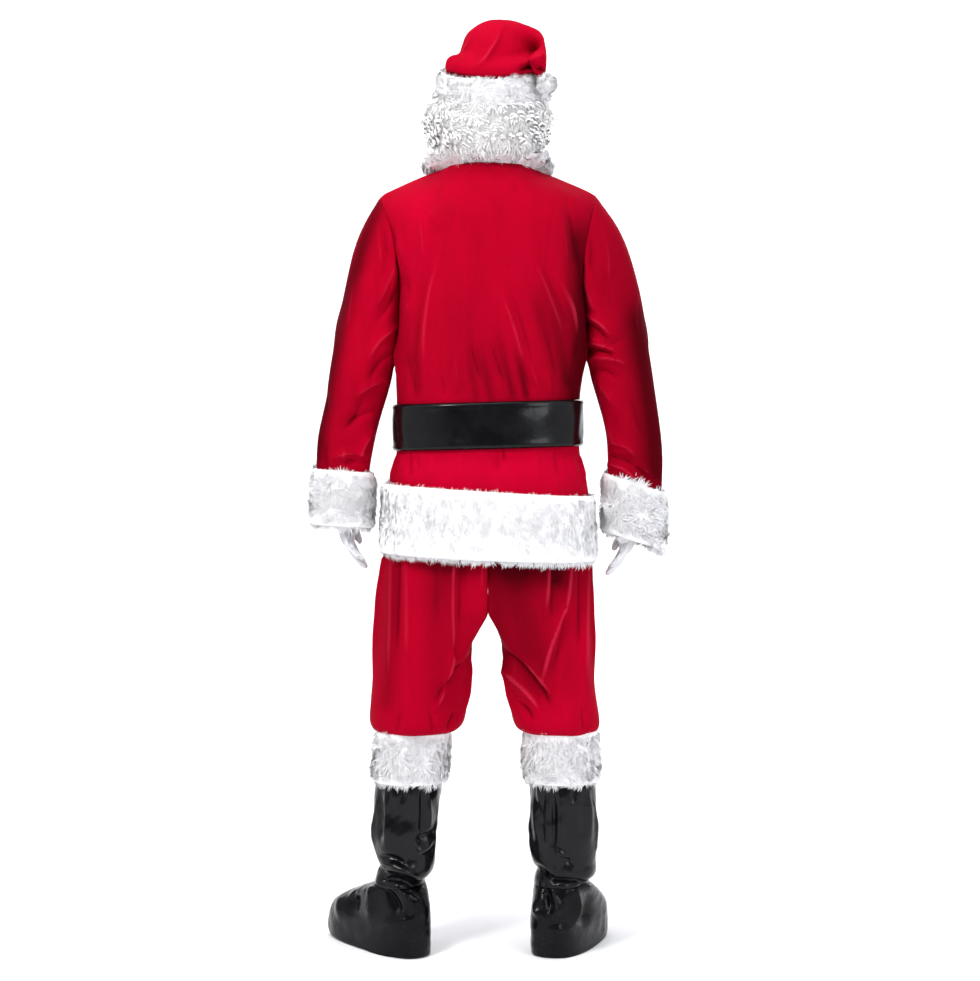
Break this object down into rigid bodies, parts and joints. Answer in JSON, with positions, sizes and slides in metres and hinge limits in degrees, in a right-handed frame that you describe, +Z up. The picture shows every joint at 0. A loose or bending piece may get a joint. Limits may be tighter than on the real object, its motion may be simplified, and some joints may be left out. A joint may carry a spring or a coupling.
{
  "type": "santa suit",
  "caption": "Red velvet santa suit in its worn shape: fur-edged jacket, wide belt, trousers, hat with pompom, curly wig, gloves and fur-topped boot covers.",
  "frame": {"origin": "middle of the neck base, level with where the jacket rests on the wearer's shoulders", "axes": "+Z up along the wearer's spine; -Y is the way the suit faces; +X is towards the wearer's left arm"},
  "size_m": [0.7121, 0.3592, 1.8276],
  "materials": {
    "velvet_red": "short-pile red velvet with a soft sheen",
    "plush_white": "long-pile white faux fur",
    "hair_white": "curly white synthetic hair",
    "leather_black": "glossy black imitation leather",
    "metal_gold": "gold-coloured polished metal",
    "knit_white": "fine white knit"
  },
  "bodies": {
    "root": {"hat_crown": "velvet_red", "jacket_back": "velvet_red", "jacket_front_left": "velvet_red", "jacket_front_right": "velvet_red", "jacket_sleeve_left": "velvet_red", "jacket_sleeve_right": "velvet_red", "trouser_leg_left": "velvet_red", "trouser_leg_right": "velvet_red", "trouser_waistband": "velvet_red", "boot_fur_left": "plush_white", "boot_fur_right": "plush_white", "hat_band": "plush_white", "hat_pompom": "plush_white", "jacket_collar": "plush_white", "jacket_cuff_left": "plush_white", "jacket_cuff_right": "plush_white", "jacket_hem_fur": "plush_white", "jacket_placket": "plush_white", "wig": "hair_white", "belt_strap": "leather_black", "boot_foot_left": "leather_black", "boot_foot_right": "leather_black", "boot_shaft_left": "leather_black", "boot_shaft_right": "leather_black", "belt_buckle": "metal_gold", "glove_left": "knit_white", "glove_right": "knit_white"}
  },
  "joints": []
}
